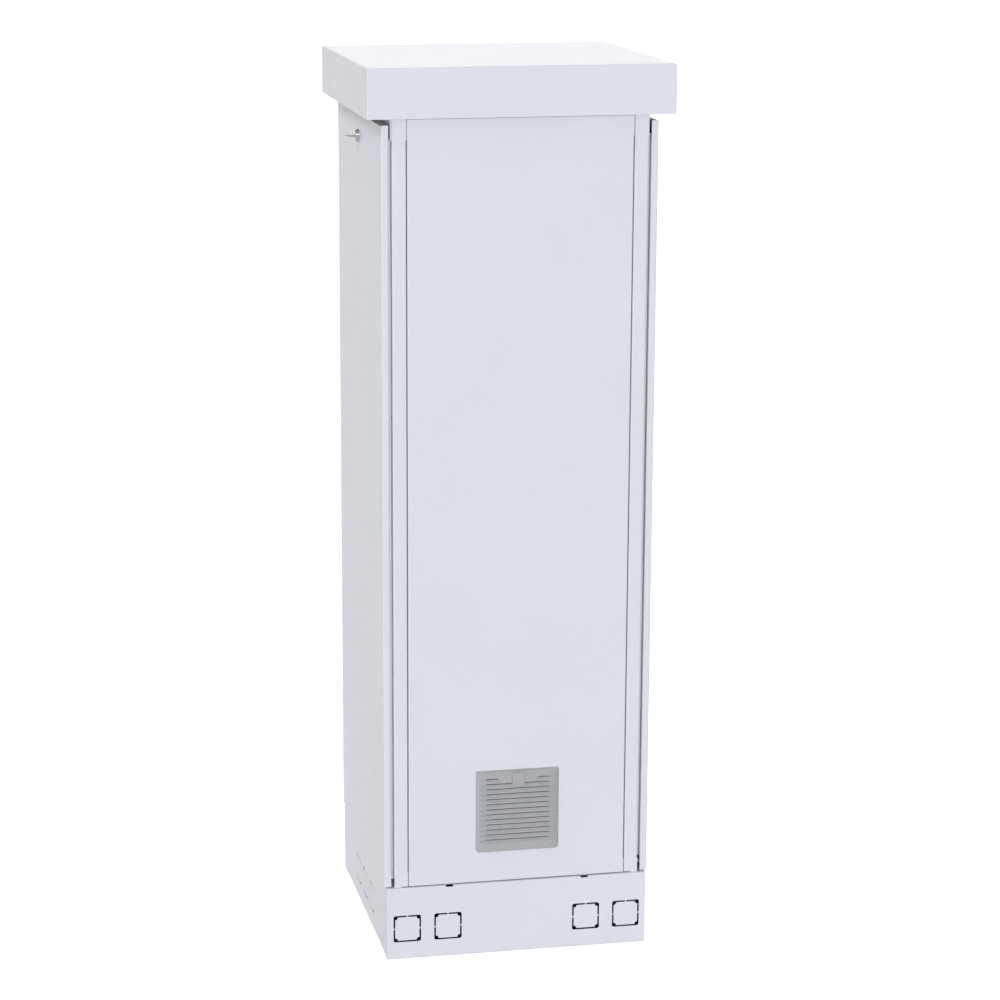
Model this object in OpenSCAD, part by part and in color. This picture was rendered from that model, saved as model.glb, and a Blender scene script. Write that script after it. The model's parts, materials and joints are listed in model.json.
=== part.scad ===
// Floor-standing rack cabinet, all sizes in millimetres
// Front is -Y, the floor is z = 0 and the origin is the middle of the base

/* [Cabinet] */
// Width over the two side covers
cab_w = 650; // [620:5:800]
// Depth over the front and rear panels
cab_d = 636; // [600:2:800]
// Height from the floor to the top of the roof
cab_h = 2140; // [1500:5:2400]
// Sheet thickness of frame, panels, plinth and roof
sheet = 2; // [1.5:0.25:2.5]
// Inside radius of a sheet fold
fold_r = 1.5; // [1:0.25:2.5]

/* [Roof] */
// Height of the folded roof lip
roof_h = 115; // [80:1:160]
// Roof overhang past each side cover
roof_side = 35; // [30:0.5:80]
// Roof overhang past the front and rear
roof_front = 20; // [12:1:80]
// Outer radius of the upper roof edges
roof_r = 5; // [3:0.5:10]

/* [Plinth] */
// Plinth height
plinth_h = 180; // [150:1:260]
// Plinth set back from each side cover
plinth_inset = 5; // [2:1:12]
// Plinth ledge ahead of the front panel
plinth_ledge = 8; // [6:1:14]
// Width of the plinth flanges
plinth_flange = 50; // [44:1:60]
// Floor anchor hole radius
anchor_r = 7; // [5:0.5:9]
// Floor anchor holes, distance from the middle across the width
anchor_x = 250; // [220:5:280]

/* [Knock-outs] */
// Side of a square knock-out
ko_size = 67.5; // [50:0.5:80]
// Distance between neighbouring knock-outs
ko_pitch = 100; // [90:1:110]
// Middle of a front pair from the cabinet middle
ko_pair = 221; // [200:1:225]
// Knock-out height above the floor
ko_z = 77; // [60:1:100]
// Width of the cut line
ko_slit = 4.1; // [2:0.1:5]
// Radius of the round hole at each corner
ko_dot = 5.2; // [3:0.1:6]
// Length of the holding bridges
ko_bridge = 3; // [2:0.5:6]

/* [Side covers] */
// Sheet thickness of a side cover
cover_t = 1.5; // [1:0.25:2]
// Depth of the cover tray
cover_tray = 17; // [16:0.5:22]
// Cover edges behind the front and rear faces
cover_back = 4; // [2:0.5:8]
// Gap between the cover and the post
cover_gap = 7.5; // [5:0.5:9]
// Thickness of the cover seal
seal_t = 7; // [6:0.25:7.5]

/* [Front] */
// Visible width of a corner post
post_w = 33; // [28:1:40]
// Gap between post and front panel
seam = 2; // [1.5:0.25:3]
// Distance of the drain slots from the middle
drain_x = 167; // [120:1:190]
// Width of the drain slots below the panels
drain_w = 18; // [14:1:24]

/* [Filter grille] */
// Width and height of the louvred cover
grille = 204; // [200:1:220]
// Grille middle above the plinth
grille_up = 180; // [170:1:400]
// Projection of the louvred cover
grille_out = 11.5; // [11:0.25:14]
// Louvre rows
louvres = 13; // [10:1:13]
// Distance between louvre rows
louvre_pitch = 12.77; // [12:0.01:13]

/* [Lock] */
// Radius of the lock rosette at the cover
rosette_r = 16.5; // [14:0.5:18]
// Height of the rosette
rosette_h = 9; // [7:0.5:11]
// Radius of the lock plug
plug_r = 6.5; // [5.5:0.25:7]
// Running clearance of the plug
plug_gap = 0.05; // [0.02:0.01:0.1]
// Length of the cam past the lock middle
cam_l = 40; // [34:1:44]
// Length of the key outside the lock
key_l = 26; // [20:1:30]

/* [Rack] */
// Distance between the rail hole columns
rack_holes = 465.1; // [465.1:0.1:465.1]
// Free width between the rails
rack_open = 450; // [450:1:452]
// Rail front plane from the cover face
rail_back = 90; // [86:1:140]
// One height unit
rack_u = 44.45; // [44.45:0.01:44.45]
// Side of the square holes
rack_hole = 9.5; // [9:0.1:10]

/* [Hidden] */
$fn = 64;
half_w = cab_w / 2;
half_d = cab_d / 2;
roof_z = cab_h - roof_h;
cover_in = half_w - cover_tray;
cover_y = half_d - cover_back;
post_out = cover_in - cover_gap;
post_in = post_out - post_w;
panel_x = post_in - seam;
plinth_x = half_w - plinth_inset;
plinth_y = half_d + plinth_ledge;
drain_h = 3.4;

// Frame levels: bottom frame top, top frame bottom and top
low_z = plinth_h + 35;
high_z = roof_z - 50;
ring_z = roof_z + 3;
top_x = post_out + 3;
top_y = half_d - 8;
base_x = post_out - 10.5;
base_y = half_d - 14;
ring_w = 48;

// Post fold lines behind the front face
lip_y = half_d - 24;
rabbet_y = half_d - 20;
rabbet_x = post_in - 23.5;
return_y = half_d - 50;
seal_gap = 0.3;
lip_x = half_w - cover_t - seal_t - seal_gap;

// Side covers: lower and upper edge and the pivot pin
cover_low = plinth_h + 2;
cover_high = roof_z - 16;
pin_x = half_w - 9.5;
pin_z = plinth_h + 18;
pin_r = 4;
pin_gap = 0.05;
lock_z = high_z - 22;
barrel_r = 9.5;
cam_t = 3;
hook_r = 7;
hook_y = half_d - 34;
key_w = 8;
key_t = 2.2;
bow_r = 11;
cam_gap = 4;
cam_x = top_x - sheet - cam_gap - cam_t;

// Front panel: face and flange limits, studs and nuts
panel_low = plinth_h + 2;
panel_high = roof_z - 3;
flange_y = rabbet_y + 3;
stud_x = rabbet_x + 9;
stud_r = 3;
stud_gap = 0.05;
flange_low = low_z + 2;
flange_high = high_z - 2;
stud_z = [for (i = [0:4]) flange_low + 40 + i * (flange_high - flange_low - 80) / 4];

// Bolts between base frame and plinth, cable glands and earth bar
base_bolt_x = 200;
base_bolt_y = base_y - 14;
base_bolt_r = 5;
gland_x = 170;
gland_y = 60;
gland_pitch = 66;
gland_r = 20;
earth_y = 170;
earth_up = 30;
earth_half = 100;
stand_x = 82;

// Roof supports and studs
support_x = 240;
support_y = 245;
roof_stud_r = 4;

// Grille: hinge axis, cut-out, frame and cover levels
grille_z = plinth_h + grille_up;
grille_y = half_d + grille_out;
hinge_r = (grille_out - 0.5) / 2;
hinge_y = grille_y - hinge_r;
hinge_z = grille_z - grille / 2 + hinge_r + 0.5;
cut_half = 88;
cut_z = grille_z + 3;
louvre_half = 77;
face_half = 80;
edge_run = grille / 2 - face_half;
edge_drop = grille_out - 0.5;
edge_r = (edge_run * edge_run + edge_drop * edge_drop) / (2 * edge_drop);
scoop_half = grille / 2 - 9;
face_t = 8;
plate_half = 40;
plate_slant = 10;
louvre_d = 5;
slot_h = 3.2;
hollow_low = hinge_z + hinge_r;
frame_low = hollow_low + 2.2;
ear_x = 74;
ear_w = 8;
ear_r = 3.5;
ear_pin_r = 1.5;
tab_w = 29;
foot_r = 9;
tab_high = grille_z + grille / 2 - 5;
tab_low = tab_high - 33;

// Rack rails and the bars that carry them
rail_x = half_w - rail_back;
rail_leg = 30;
rail_room = 63;
rail_y = min(rack_open / 2 + rail_leg, half_d - rail_room);
rail_in = rail_y - rail_leg;
hole_y = rail_in + (rack_holes - rack_open) / 2;
rail_d = 40;
units = floor((high_z - low_z - 12) / rack_u);
rail_low = low_z + 5;
rail_h = units * rack_u;
bar_h = 30;
bar_back = 29;
bar_z = [low_z + 22, (low_z + high_z) / 2, high_z - 22 - bar_h];
bolt_r = 3;
bolt_gap = 0.1;
rail_bolt = 24;

paint = [0.84, 0.86, 0.89];
zinc = [0.72, 0.73, 0.75];
chrome = [0.8, 0.8, 0.82];
rubber = [0.09, 0.09, 0.1];
plastic = [0.68, 0.69, 0.69];

// Helpers

// Box between two corners
module box(a, b) {
    translate(a)
        cube(b - a);
}

// Flat ring between two boxes of half sizes, from z0 to z1
module ring(outer, inner, z0, z1) {
    difference() {
        box([-outer.x, -outer.y, z0], [outer.x, outer.y, z1]);
        box([-inner.x, -inner.y, z0 - 1], [inner.x, inner.y, z1 + 1]);
    }
}

// Copies at the front and, turned half round, at the rear
module both_ends() {
    children();
    rotate([0, 0, 180])
        children();
}

// Copies at all four corners
module corners() {
    for (sx = [0, 1])
        mirror([sx, 0, 0])
            both_ends()
                children();
}

function unit(v) = v / norm(v);

// Straight piece of a folded section
module fold_strip(a, b, t) {
    d = unit(b - a);
    w = [abs(d.y), abs(d.x)] * t / 2;
    low = [min(a.x, b.x), min(a.y, b.y)];
    high = [max(a.x, b.x), max(a.y, b.y)];
    translate(low - w)
        square(high - low + 2 * w);
}

// Square bend of a folded section, at point p between directions d and e
module fold_bend(p, d, e, t, r) {
    rc = r + t / 2;
    c = p - rc * d + rc * e;
    out = (rc + t) * (d - e);
    translate(c)
        intersection() {
            difference() {
                circle(rc + t / 2);
                circle(rc - t / 2);
            }
            translate([min(0, out.x), min(0, out.y)])
                square([abs(out.x), abs(out.y)]);
        }
}

// Section of a sheet folded square along its middle line
module folded(path, t, r = fold_r) {
    n = len(path);
    rc = r + t / 2;
    for (i = [0:n - 2]) {
        d = unit(path[i + 1] - path[i]);
        a = path[i] + (i > 0 ? rc : 0) * d;
        b = path[i + 1] - (i < n - 2 ? rc : 0) * d;
        fold_strip(a, b, t);
    }
    for (i = [1:n - 2])
        fold_bend(path[i], unit(path[i] - path[i - 1]), unit(path[i + 1] - path[i]), t, r);
}

// Extrusion between two heights
module rise(z0, z1) {
    translate([0, 0, z0])
        linear_extrude(z1 - z0)
            children();
}

// Section drawn in x and z, run along y from y0 to y1
module run_y(y0, y1) {
    translate([0, y1, 0])
        rotate([90, 0, 0])
            linear_extrude(y1 - y0)
                children();
}

// Section drawn in y and z, run along x from x0 to x1
module run_x(x0, x1) {
    translate([x0, 0, 0])
        rotate([90, 0, 90])
            linear_extrude(x1 - x0)
                children();
}

// Cylinder along x from x0 to x1
module rod_x(r, x0, x1) {
    translate([x0, 0, 0])
        rotate([0, 90, 0])
            cylinder(r = r, h = x1 - x0);
}

// Cylinder along y from y0 to y1
module rod_y(r, y0, y1) {
    translate([0, y1, 0])
        rotate([90, 0, 0])
            cylinder(r = r, h = y1 - y0);
}

// Hexagon bar along y across flats af
module hex_y(af, y0, y1) {
    translate([0, y1, 0])
        rotate([90, 0, 0])
            cylinder(r = af / sqrt(3), h = y1 - y0, $fn = 6);
}

// Rectangle with two rounded corners at its upper end
module top_rounded(w, h, r) {
    translate([-w / 2, 0])
        square([w, h - r]);
    translate([-w / 2 + r, 0])
        square([w - 2 * r, h]);
    for (s = [-1, 1])
        translate([s * (w / 2 - r), h - r])
            circle(r);
}

// Plinth

// Cut line of one knock-out, drawn flat: round corners and three bridges
module knock_out() {
    s = ko_size / 2;
    inner = s - ko_dot;
    difference() {
        union() {
            difference() {
                union() {
                    square([2 * s, 2 * inner], center = true);
                    square([2 * inner, 2 * s], center = true);
                }
                square(2 * (s - ko_slit), center = true);
            }
            for (x = [-inner, inner], y = [-inner, inner])
                translate([x, y])
                    circle(ko_dot);
        }
        translate([-ko_bridge / 2, s - 2 * ko_slit])
            square([ko_bridge, 4 * ko_slit]);
        for (k = [-1, 1])
            translate([k * s - 2 * ko_slit, -ko_bridge / 2])
                square([4 * ko_slit, ko_bridge]);
    }
}

// End wall: folded channel with four knock-outs, drain slots, anchor and bolt holes
module plinth_end() {
    m = sheet / 2;
    y = -plinth_y + plinth_flange;
    difference() {
        run_x(-plinth_x, plinth_x)
            folded([[y, m], [-plinth_y + m, m], [-plinth_y + m, plinth_h - m], [y, plinth_h - m]],
                sheet);
        for (k = [-1, 1], j = [-0.5, 0.5])
            translate([k * ko_pair + j * ko_pitch, 0, ko_z])
                run_y(-plinth_y - 1, -plinth_y + sheet + 1)
                    knock_out();
        for (k = [-1, 1]) {
            box([k * drain_x - drain_w / 2, -plinth_y - 1, plinth_h - drain_h],
                [k * drain_x + drain_w / 2, -half_d + 6, plinth_h + 1]);
            translate([k * anchor_x, -plinth_y + plinth_flange / 2, -1])
                cylinder(r = anchor_r, h = sheet + 2);
            translate([k * base_bolt_x, -base_bolt_y, plinth_h - sheet - 1])
                cylinder(r = base_bolt_r + bolt_gap, h = sheet + 2);
        }
    }
}

// Side wall: folded channel with three knock-outs, butting against the end walls
module plinth_side() {
    m = sheet / 2;
    x = -plinth_x + plinth_flange;
    inner = plinth_y - plinth_flange;
    clear = sheet + fold_r;
    difference() {
        union() {
            run_y(-inner, inner)
                folded([[x, m], [-plinth_x + m, m], [-plinth_x + m, plinth_h - m], [x, plinth_h - m]],
                    sheet);
            box([-plinth_x, -plinth_y + sheet, clear],
                [-plinth_x + sheet, plinth_y - sheet, plinth_h - clear]);
        }
        for (k = [-1, 0, 1])
            translate([0, k * ko_pitch, ko_z])
                run_x(-plinth_x - 1, -plinth_x + sheet + 1)
                    knock_out();
    }
}

module plinth_front() {
    color(paint)
        plinth_end();
}

module plinth_rear() {
    color(paint)
        rotate([0, 0, 180])
            plinth_end();
}

module plinth_left() {
    color(paint)
        plinth_side();
}

module plinth_right() {
    color(paint)
        rotate([0, 0, 180])
            plinth_side();
}

// Bolts that clamp the bottom frame and floor plate to the plinth, each with its nut
module plinth_bolts() {
    color(zinc)
        corners()
            translate([-base_bolt_x, -base_bolt_y, 0]) {
                translate([0, 0, plinth_h - 14])
                    cylinder(r = base_bolt_r, h = 14 + 2 * sheet);
                translate([0, 0, plinth_h + 2 * sheet])
                    cylinder(r = 9.8, h = 7, $fn = 6);
                translate([0, 0, plinth_h - sheet - 9])
                    cylinder(r = 9.8, h = 9, $fn = 6);
            }
}

// Floor and frames

// Floor plate with the cable opening and bolt holes
module floor_plate() {
    color(zinc)
        difference() {
            box([-base_x, -base_y, plinth_h], [base_x, base_y, plinth_h + sheet]);
            box([-gland_x, -gland_y, plinth_h - 1], [gland_x, gland_y, plinth_h + sheet + 1]);
            corners()
                translate([-base_bolt_x, -base_bolt_y, plinth_h - 1])
                    cylinder(r = base_bolt_r + bolt_gap, h = sheet + 2);
        }
}

// Plate over the cable opening, with five cable holes in a row
module gland_plate() {
    z = plinth_h + sheet;
    color(zinc)
        difference() {
            box([-gland_x - 20, -gland_y - 20, z], [gland_x + 20, gland_y + 20, z + 3]);
            for (k = [-2:2])
                translate([k * gland_pitch, 0, z - 1])
                    cylinder(r = gland_r, h = 5);
        }
}

// Closed rubber grommets in the cable holes
module cable_grommets() {
    z = plinth_h + sheet;
    r = gland_r - 0.1;
    color(rubber)
        for (k = [-2:2])
            translate([k * gland_pitch, 0, z])
                rotate_extrude()
                    polygon([[0, 0.5], [r - 4, 0.5], [r - 4, -4], [r, -4], [r, 3], [r + 5, 3],
                        [r + 5, 6], [r - 4, 6], [r - 4, 2.5], [0, 2.5]]);
}

// Welded base frame, an inward channel, with sealing lips along the sides
module bottom_frame() {
    z = plinth_h + sheet;
    color(paint)
        difference() {
            union() {
                ring([base_x, base_y], [base_x - ring_w, base_y - ring_w], z, low_z);
                both_ends()
                    box([-lip_x, -lip_y + sheet, low_z - sheet], [-base_x, lip_y - sheet, low_z]);
            }
            ring([base_x - sheet, base_y - sheet], [base_x - ring_w - 1, base_y - ring_w - 1],
                z + sheet, low_z - sheet);
            corners()
                translate([-base_bolt_x, -base_bolt_y, z - 1])
                    cylinder(r = base_bolt_r + bolt_gap, h = sheet + 2);
        }
}

// Welded top frame, an upturned channel, with corner plates and sealing lips
module top_frame() {
    color(paint) {
        difference() {
            ring([top_x, top_y], [top_x - ring_w, top_y - ring_w], high_z, ring_z);
            ring([top_x - sheet, top_y - sheet],
                [top_x - ring_w + sheet, top_y - ring_w + sheet], high_z - 1, ring_z - sheet);
        }
        corners()
            box([-top_x, -top_y, high_z], [-rabbet_x + 2, -return_y + 2, high_z + sheet]);
        both_ends()
            box([-lip_x, -lip_y + sheet, high_z], [-top_x, lip_y - sheet, high_z + sheet]);
    }
}

// Corner post: folded section between the frames, with a face strip running past both
module post() {
    m = sheet / 2;
    face = -half_d + m;
    difference() {
        union() {
            rise(low_z, high_z)
                folded([[-lip_x, -lip_y + m], [-post_out + m, -lip_y + m], [-post_out + m, face],
                    [-post_in - m, face], [-post_in - m, -rabbet_y + m],
                    [-rabbet_x - m, -rabbet_y + m], [-rabbet_x - m, -return_y]], sheet);
            for (z = [[plinth_h, low_z], [high_z, ring_z]])
                box([-post_out, -half_d, z[0]], [-post_in, -half_d + sheet, z[1]]);
        }
        // Lower inner corner of the face, held clear of the plinth
        box([-post_in - post_w / 2, -half_d - 1, plinth_h - 1],
            [-post_in + 1, -half_d + sheet + 1, panel_low]);
        for (z = stud_z)
            translate([-stud_x, 0, z])
                rod_y(stud_r + 0.5, -rabbet_y - 1, -rabbet_y + sheet + 1);
    }
}

module post_front_left() {
    color(paint)
        post();
}

module post_front_right() {
    color(paint)
        mirror([1, 0, 0])
            post();
}

module post_rear_left() {
    color(paint)
        mirror([0, 1, 0])
            post();
}

module post_rear_right() {
    color(paint)
        rotate([0, 0, 180])
            post();
}

// Fixed panels

// Panel tray with side and end flanges and welded studs
module panel() {
    m = sheet / 2;
    x = panel_x - m;
    rise(flange_low, flange_high)
        folded([[-x, -flange_y], [-x, -half_d + m], [x, -half_d + m], [x, -flange_y]], sheet);
    for (z = [[panel_low, flange_low], [flange_high, panel_high]])
        box([-panel_x, -half_d, z[0]], [panel_x, -half_d + sheet, z[1]]);
    for (z = [flange_low, flange_high - sheet])
        box([-panel_x + sheet, -half_d + m, z], [panel_x - sheet, -flange_y, z + sheet]);
    for (k = [-1, 1], z = stud_z)
        translate([k * stud_x, 0, z])
            rod_y(stud_r, -half_d + m, -rabbet_y + 12);
}

// Foam seal between the panel flange and the post
module panel_seal() {
    difference() {
        box([-panel_x, -flange_y, flange_low], [panel_x, -rabbet_y, flange_high]);
        box([-panel_x + 8, -flange_y - 1, flange_low + 8],
            [panel_x - 8, -rabbet_y + 1, flange_high - 8]);
    }
}

module front_panel() {
    color(paint)
        difference() {
            panel();
            box([-cut_half, -half_d - 1, cut_z - cut_half],
                [cut_half, -half_d + sheet + 1, cut_z + cut_half]);
        }
}

module rear_panel() {
    color(paint)
        rotate([0, 0, 180])
            panel();
}

module front_seal() {
    color(rubber)
        panel_seal();
}

module rear_seal() {
    color(rubber)
        rotate([0, 0, 180])
            panel_seal();
}

// Nuts on the panel studs, behind the posts
module panel_nuts() {
    y = -rabbet_y + sheet;
    color(zinc)
        corners()
            for (z = stud_z)
                translate([-stud_x, 0, z])
                    difference() {
                        hex_y(10, y, y + 5);
                        rod_y(stud_r + stud_gap, y - 1, y + 6);
                    }
}

// Roof

// Plate over the top frame with a field of vent holes
module top_plate() {
    color(paint)
        difference() {
            box([-top_x, -top_y, ring_z], [top_x, top_y, ring_z + sheet]);
            for (i = [-4.5:4.5], j = [-4.5:4.5])
                translate([i * 26, j * 26, ring_z - 1])
                    cylinder(r = 9, h = sheet + 2);
        }
}

// Folded brackets between the top plate and the roof
module roof_supports() {
    m = sheet / 2;
    low = ring_z + sheet + m;
    high = cab_h - sheet - m;
    color(zinc)
        corners()
            difference() {
                run_y(-support_y - 20, -support_y + 20)
                    folded([[-support_x - 20, low], [-support_x, low], [-support_x, high],
                        [-support_x + 24, high]], sheet);
                translate([-support_x + 13, -support_y, high - sheet])
                    cylinder(r = 4.4, h = 2 * sheet);
            }
}

// Block with rounded upper edges, its lower face lowered by drop
module roof_block(w, d, h, r, drop) {
    translate([0, 0, roof_z - drop])
        intersection() {
            run_y(-d / 2, d / 2)
                top_rounded(w, h + drop, r);
            run_x(-w / 2, w / 2)
                top_rounded(d, h + drop, r);
        }
}

// Folded cap with rounded upper edges and studs underneath
module roof() {
    w = cab_w + 2 * roof_side;
    d = cab_d + 2 * roof_front;
    color(paint) {
        difference() {
            roof_block(w, d, roof_h, roof_r, 0);
            roof_block(w - 2 * sheet, d - 2 * sheet, roof_h - sheet, roof_r - sheet, 1);
        }
        corners()
            translate([-support_x + 13, -support_y, cab_h - sheet - 16])
                cylinder(r = roof_stud_r, h = 16 + sheet / 2);
    }
}

// Nuts on the roof studs
module roof_nuts() {
    color(zinc)
        corners()
            translate([-support_x + 13, -support_y, cab_h - 2 * sheet - 6])
                difference() {
                    cylinder(r = 7.5, h = 6, $fn = 6);
                    translate([0, 0, -1])
                        cylinder(r = roof_stud_r + stud_gap, h = 8);
                }
}

// Filter grille

// Fixed frame: outer flange, sleeve through the panel, rear grid and hinge ears
module grille_frame() {
    s = cut_half - 0.3;
    w = 2.5;
    back = half_d - 26;
    color(plastic) {
        difference() {
            union() {
                box([-grille / 2 + 6, -half_d - 2.4, frame_low],
                    [grille / 2 - 6, -half_d, grille_z + grille / 2 - 5]);
                box([-s, -half_d - 1, cut_z - s], [s, -back, cut_z + s]);
            }
            box([-s + w, -half_d - 3, cut_z - s + w], [s - w, -back - 2, cut_z + s - w]);
            for (i = [-2:2], j = [-2:2])
                box([i * 34 - 14.5, -back - 3, cut_z + j * 34 - 14.5],
                    [i * 34 + 14.5, -back + 1, cut_z + j * 34 + 14.5]);
        }
        for (k = [-1, 1])
            translate([k * ear_x, -hinge_y, hinge_z]) {
                rod_x(ear_r, -ear_w / 2, ear_w / 2);
                rod_x(ear_pin_r, -ear_w / 2 - 4, ear_w / 2 + 4);
                box([-ear_w / 2, 0, -2], [ear_w / 2, hinge_y - half_d, frame_low - hinge_z + 3]);
            }
    }
}

// Fleece filter mat in the frame sleeve
module filter_mat() {
    s = cut_half - 2.8;
    color([0.8, 0.8, 0.78])
        box([-s, -half_d + 4, cut_z - s], [s, -half_d + 24, cut_z + s]);
}

// Flat face that curves back to the panel along both edges
module grille_section() {
    translate([-face_half, -grille_y])
        square([2 * face_half, edge_drop]);
    for (k = [0, 1])
        mirror([k, 0])
            translate([face_half, -grille_y])
                intersection() {
                    translate([0, edge_r])
                        circle(edge_r, $fn = 128);
                    square([edge_run, edge_drop]);
                }
}

// Outer shape: curved edges, bevelled top, full round along the hinge at the bottom
module grille_block() {
    back = half_d + 0.5;
    side = grille / 2;
    intersection() {
        rise(grille_z - side, grille_z + side)
            grille_section();
        run_x(-side, side)
            union() {
                polygon([[-back, hinge_z], [-grille_y, hinge_z],
                    [-grille_y, grille_z + side - 11], [-back, grille_z + side]]);
                translate([-hinge_y, hinge_z])
                    circle(hinge_r);
            }
        run_y(-grille_y, -back)
            translate([0, grille_z + side])
                mirror([0, 1])
                    top_rounded(grille, grille, foot_r);
    }
}

// Outline of a scoop, each lower corner rounded by its own radius
module scoop_outline(z, x0, x1, h, r0, r1) {
    difference() {
        translate([x0, z - h])
            square([x1 - x0, h + 3]);
        translate([x0 - 1, z - h - 1])
            square([r0 + 1, r0 + 1]);
        translate([x1 - r1, z - h - 1])
            square([r1 + 1, r1 + 1]);
    }
    translate([x0 + r0, z - h + r0])
        circle(r0);
    translate([x1 - r1, z - h + r1])
        circle(r1);
}

// One scooped louvre: a slope that deepens upwards, with the air slot at its top
module louvre(z, x0, x1, r0, r1) {
    h = louvre_pitch - 2;
    f = -grille_y;
    intersection() {
        run_x(x0, x1)
            polygon([[f, z - h], [f + louvre_d, z], [f + louvre_d, z + slot_h / 2],
                [f - 1, z + slot_h / 2], [f - 1, z - h]]);
        run_y(f - 2, f + louvre_d + 1)
            scoop_outline(z, x0, x1, h, r0, r1);
    }
    box([max(x0, -louvre_half), f + 2, z - slot_h / 2],
        [min(x1, louvre_half), f + face_t + 1, z + slot_h / 2]);
}

// Short louvre at one end of the first row, its inner end slanted
module half_louvre(z) {
    h = louvre_pitch - 2;
    difference() {
        louvre(z, -scoop_half, -plate_half, 7, 1);
        run_y(-grille_y - 2, -half_d + 1)
            polygon([[-plate_half, z - h], [-plate_half - plate_slant, z + slot_h / 2],
                [-plate_half - plate_slant, z + 4], [-plate_half + 1, z + 4], [-plate_half + 1, z - h]]);
    }
}

// Pull tab with side slits and small grip ribs
module pull_tab() {
    f = -grille_y;
    box([-tab_w / 2, f - 0.8, tab_low], [tab_w / 2, f + face_t, tab_high]);
    for (k = [-2:2])
        box([k * 4 - 0.8, f - 1.6, tab_low + 2], [k * 4 + 0.8, f, tab_low + 5]);
}

// Louvred cover that folds down about its lower edge
module grille_cover() {
    first = tab_high - 14;
    side = grille / 2;
    color(plastic)
        difference() {
            union() {
                difference() {
                    grille_block();
                    // First row only at both ends, then the full rows
                    for (k = [0, 1])
                        mirror([k, 0, 0])
                            half_louvre(first);
                    for (i = [1:louvres - 1])
                        louvre(first - i * louvre_pitch, -scoop_half, scoop_half, 7, 7);
                    // Groove along the top edge
                    box([-louvre_half, -half_d - 4, grille_z + side - 2.6],
                        [louvre_half, -half_d - 1.3, grille_z + side - 1.2]);
                    // Slits beside the tab
                    for (k = [-1, 1])
                        box([k * (tab_w / 2 + 0.8) - 0.8, -grille_y - 1, tab_low],
                            [k * (tab_w / 2 + 0.8) + 0.8, -grille_y + 1.5, tab_high]);
                }
                pull_tab();
            }
            // Hollow for the frame flange
            box([-side + 5, -grille_y + face_t, hollow_low],
                [side - 5, -half_d, grille_z + side - 4]);
            // Room for the hinge ears, and the pin holes
            for (k = [-1, 1])
                translate([k * ear_x, -hinge_y, hinge_z]) {
                    rod_x(ear_r + 0.7, -ear_w / 2 - 0.5, ear_w / 2 + 0.5);
                    rod_x(ear_pin_r + pin_gap, -ear_w / 2 - 4.5, ear_w / 2 + 4.5);
                    box([-ear_w / 2 - 0.5, 0, -hinge_r - 1], [ear_w / 2 + 0.5, 9, 14]);
                }
        }
}

// Rack

// Vertical rail: angle with a column of square holes and the bar bolt holes
module rail() {
    m = sheet / 2;
    difference() {
        rise(rail_low, rail_low + rail_h)
            folded([[-rail_x + m, -rail_in], [-rail_x + m, -rail_y + m],
                [-rail_x + rail_d, -rail_y + m]], sheet);
        for (u = [0:units - 1], v = [6.35, 22.225, 38.1])
            translate([-rail_x + m, -hole_y, rail_low + u * rack_u + v])
                cube([3 * sheet, rack_hole, rack_hole], center = true);
        for (z = bar_z)
            translate([-rail_x + rail_bolt, 0, z + bar_h / 2])
                rod_y(bolt_r + bolt_gap, -rail_y - 1, -rail_y + sheet + 1);
    }
}

module rail_front_left() {
    color(zinc)
        rail();
}

module rail_front_right() {
    color(zinc)
        mirror([1, 0, 0])
            rail();
}

module rail_rear_left() {
    color(zinc)
        mirror([0, 1, 0])
            rail();
}

module rail_rear_right() {
    color(zinc)
        rotate([0, 0, 180])
            rail();
}

// Horizontal channel between two posts, with closed ends
module bar(z) {
    m = sheet / 2;
    y = -half_d + bar_back;
    difference() {
        union() {
            run_x(-rabbet_x, rabbet_x)
                folded([[y, z + m], [-rail_y - m, z + m], [-rail_y - m, z + bar_h - m],
                    [y, z + bar_h - m]], sheet);
            for (k = [-1, 1])
                box([k * (rabbet_x - m) - m, y, z + m],
                    [k * (rabbet_x - m) + m, -rail_y - m, z + bar_h - m]);
        }
        for (k = [-1, 1])
            translate([k * (rail_x - rail_bolt), 0, z + bar_h / 2])
                rod_y(bolt_r + bolt_gap, -rail_y - sheet - 1, -rail_y + 1);
    }
}

module bar_front_low() {
    color(zinc)
        bar(bar_z[0]);
}

module bar_front_mid() {
    color(zinc)
        bar(bar_z[1]);
}

module bar_front_high() {
    color(zinc)
        bar(bar_z[2]);
}

module bar_rear_low() {
    color(zinc)
        rotate([0, 0, 180])
            bar(bar_z[0]);
}

module bar_rear_mid() {
    color(zinc)
        rotate([0, 0, 180])
            bar(bar_z[1]);
}

module bar_rear_high() {
    color(zinc)
        rotate([0, 0, 180])
            bar(bar_z[2]);
}

// Bolts through rails and bars
module rail_bolts() {
    color(zinc)
        corners()
            for (z = bar_z)
                translate([-rail_x + rail_bolt, -rail_y, z + bar_h / 2]) {
                    rod_y(bolt_r, -10, sheet + 1);
                    hex_y(10, sheet, sheet + 4);
                }
}

// Nuts on the rail bolts
module rail_nuts() {
    color(zinc)
        corners()
            for (z = bar_z)
                translate([-rail_x + rail_bolt, -rail_y - sheet, z + bar_h / 2])
                    difference() {
                        hex_y(10, -5, 0);
                        rod_y(bolt_r + stud_gap, -6, 1);
                    }
}

// Copper bar with a row of terminal holes
module earth_bar() {
    z = plinth_h + sheet + earth_up;
    color([0.72, 0.45, 0.25])
        difference() {
            box([-earth_half, earth_y - 10, z], [earth_half, earth_y + 10, z + 5]);
            for (k = [-3.5:3.5])
                translate([k * 18, earth_y, z - 1])
                    cylinder(r = 3.2, h = 7);
        }
}

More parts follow.
